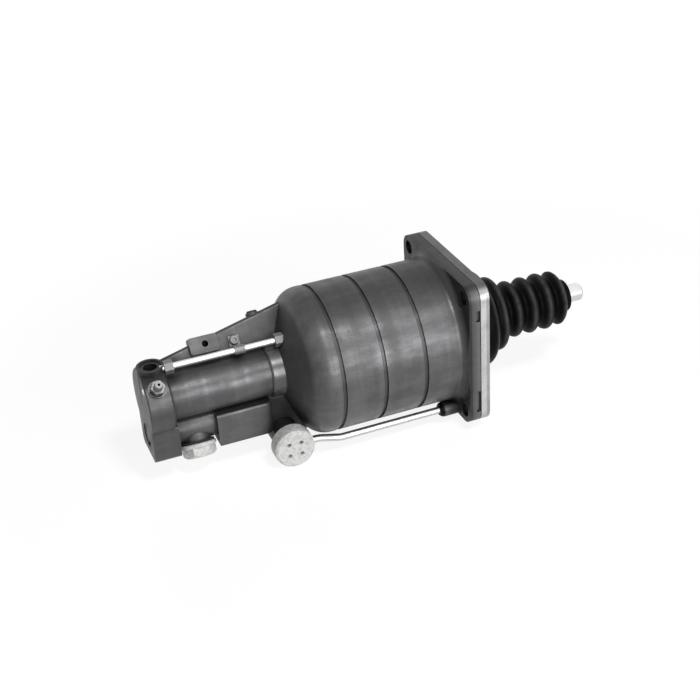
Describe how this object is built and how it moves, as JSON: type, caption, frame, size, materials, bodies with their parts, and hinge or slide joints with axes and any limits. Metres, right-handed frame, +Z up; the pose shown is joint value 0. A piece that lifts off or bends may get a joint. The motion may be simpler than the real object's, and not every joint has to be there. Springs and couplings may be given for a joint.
{
  "type": "clutch servo",
  "caption": "Air-assisted hydraulic clutch servo for a truck, cast housing with a square steel end plate, a rubber boot and a bright push rod.",
  "frame": {"origin": "centre of the mounting face, the front face of the steel end plate", "axes": "+X along the cylinders' axis towards the push rod's tip, +Z up, the silencer on the -Y side"},
  "size_m": [0.3623, 0.116, 0.1225],
  "materials": {
    "cast_aluminium": "cast, dull, lightly oiled",
    "plate_steel": "ground",
    "bright_steel": "turned and polished",
    "zinc_steel": "bright zinc plated",
    "spring_steel": "oil tempered",
    "turned_aluminium": "turned",
    "bronze": "turned",
    "valve_brass": "turned",
    "black_rubber": "matt",
    "black_plastic": "matt",
    "white_plastic": "matt",
    "grey_fibre": "pressed fibre",
    "felt": "pressed felt"
  },
  "bodies": {
    "housing": {"housing": "cast_aluminium", "end_plate": "plate_steel", "flange_gasket": "grey_fibre", "plate_screws": "zinc_steel", "rod_bush": "bronze", "rod_wiper": "black_rubber", "boot": "black_rubber", "spring_seat": "zinc_steel", "return_spring": "spring_steel", "relay_end_plug": "zinc_steel", "relay_end_ring": "black_rubber", "relay_snap_rings": "spring_steel", "relay_spring": "spring_steel", "valve_seat": "valve_brass", "valve_seat_ring": "black_rubber", "valve_spring": "spring_steel", "bleed_screw": "zinc_steel", "air_port_plug": "white_plastic", "air_port_washer": "grey_fibre", "passage_plug": "black_plastic", "core_plug": "bright_steel", "air_pipe": "zinc_steel", "air_pipe_nuts": "zinc_steel", "pipe_clip": "zinc_steel", "clip_screw": "zinc_steel", "silencer_body": "white_plastic", "silencer_felt": "felt", "silencer_cap": "white_plastic", "vent_pipe": "zinc_steel", "vent_grommet": "black_rubber"},
    "rod": {"push_rod": "bright_steel", "air_piston": "turned_aluminium", "piston_seal": "black_rubber", "piston_guide_ring": "white_plastic", "piston_nut": "zinc_steel", "hydraulic_plunger": "bright_steel", "plunger_seals": "black_rubber"},
    "relay": {"relay_piston": "valve_brass", "relay_seal": "black_rubber"},
    "valve": {"inlet_valve": "valve_brass", "valve_face": "black_rubber"}
  },
  "joints": [
    {"name": "rod_slide", "type": "slide", "parent": "housing", "child": "rod", "axis": [1, 0, 0], "range_m": [-0.045, 0], "stiffness_N_per_m": 1500, "deforming": ["boot", "return_spring"]},
    {"name": "relay_travel", "type": "slide", "parent": "housing", "child": "relay", "axis": [1, 0, 0], "range_m": [0, 0.0025], "stiffness_N_per_m": 400, "deforming": ["relay_spring"]},
    {"name": "inlet_valve_travel", "type": "slide", "parent": "housing", "child": "valve", "axis": [1, 0, 0], "range_m": [0, 0.0015], "stiffness_N_per_m": 400, "deforming": ["valve_spring"]}
  ],
  "couplings": [
    {"joint": "inlet_valve_travel", "follows": "relay_travel", "ratio": 0.6}
  ]
}
